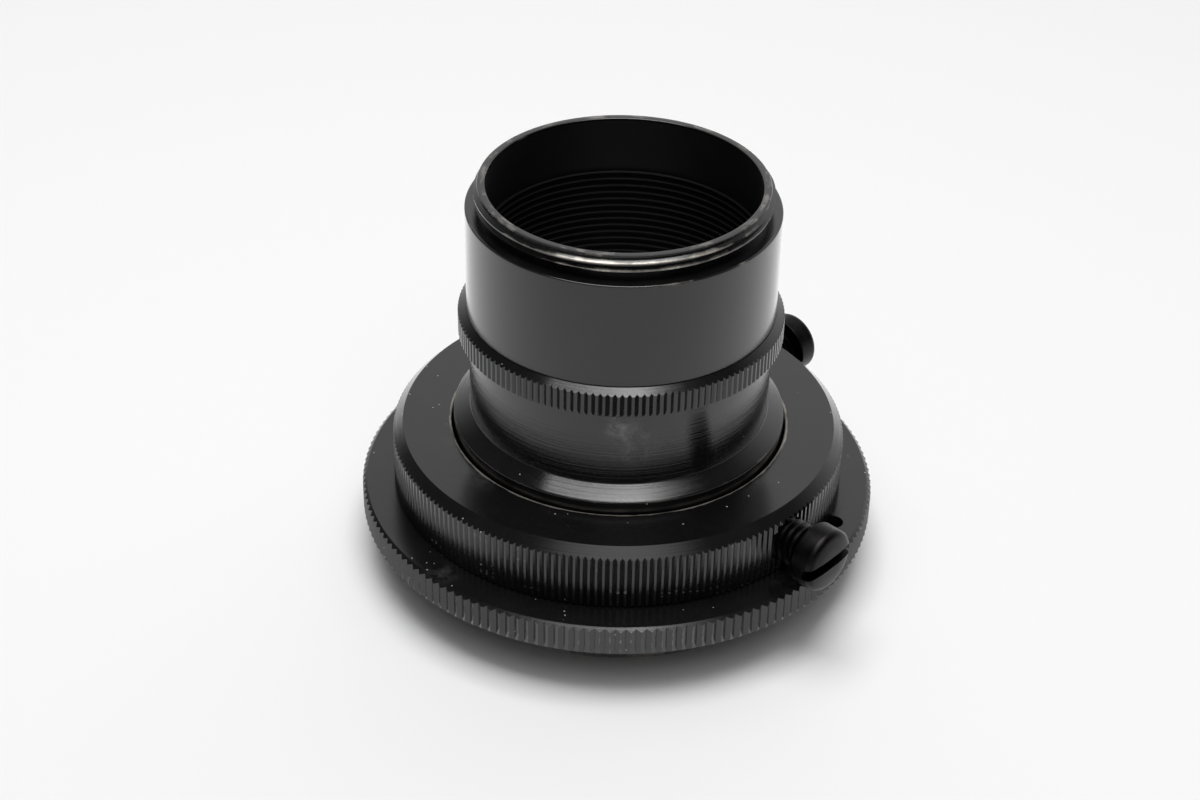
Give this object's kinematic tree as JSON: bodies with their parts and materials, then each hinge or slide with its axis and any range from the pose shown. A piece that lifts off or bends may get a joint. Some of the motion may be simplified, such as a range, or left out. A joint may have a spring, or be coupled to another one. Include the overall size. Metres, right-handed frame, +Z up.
{
  "type": "microscope camera adapter",
  "caption": "Knurled camera ring and clamp body with a camera bayonet below, a short tube held by radial clamp screws, a lock collar and a barrel with a threaded nose.",
  "frame": {"origin": "on the optical axis, level with the bottom faces of the bayonet tube and its lugs", "axes": "+Z up along the optical axis towards the threaded nose, +X between the two clamp screws, 43.5 degrees from the front one, +Y towards the back clamp screw's side"},
  "size_m": [0.0686, 0.0686, 0.0544],
  "materials": {
    "black_anodised_aluminium": "satin black anodised",
    "blackened_steel": "chemically blackened",
    "bright_steel": "ground bright"
  },
  "bodies": {
    "clamp_body_group": {"clamp_body": "black_anodised_aluminium", "camera_ring": "black_anodised_aluminium", "bayonet_mount": "black_anodised_aluminium", "bayonet_stop_pin": "bright_steel", "bayonet_screw_1": "blackened_steel", "bayonet_screw_2": "blackened_steel", "bayonet_screw_3": "blackened_steel", "bayonet_screw_4": "blackened_steel", "fixing_screw_1": "blackened_steel", "fixing_screw_2": "blackened_steel", "fixing_screw_3": "blackened_steel"},
    "tube": {"lower_tube": "black_anodised_aluminium"},
    "collar": {"lock_collar": "black_anodised_aluminium"},
    "barrel": {"upper_barrel": "black_anodised_aluminium"},
    "screw_front": {"clamp_screw_front": "blackened_steel"},
    "screw_back": {"clamp_screw_back": "blackened_steel"}
  },
  "joints": [
    {"name": "tube_turn", "type": "hinge", "parent": "clamp_body_group", "child": "tube", "pos_m": [0, 0, 0.0163], "axis": [0, 0, 1], "continuous": true},
    {"name": "collar_turn", "type": "hinge", "parent": "tube", "child": "collar", "pos_m": [0, 0, 0.0348], "axis": [0, 0, 1], "continuous": true},
    {"name": "barrel_extend", "type": "slide", "parent": "tube", "child": "barrel", "axis": [0, 0, 1], "range_m": [0, 0.005]},
    {"name": "clamp_screw_front_out", "type": "slide", "parent": "clamp_body_group", "child": "screw_front", "axis": [0.7254, -0.6884, 0], "range_m": [0, 0.005]},
    {"name": "clamp_screw_back_out", "type": "slide", "parent": "clamp_body_group", "child": "screw_back", "axis": [0.6884, 0.7254, 0], "range_m": [0, 0.005]}
  ]
}
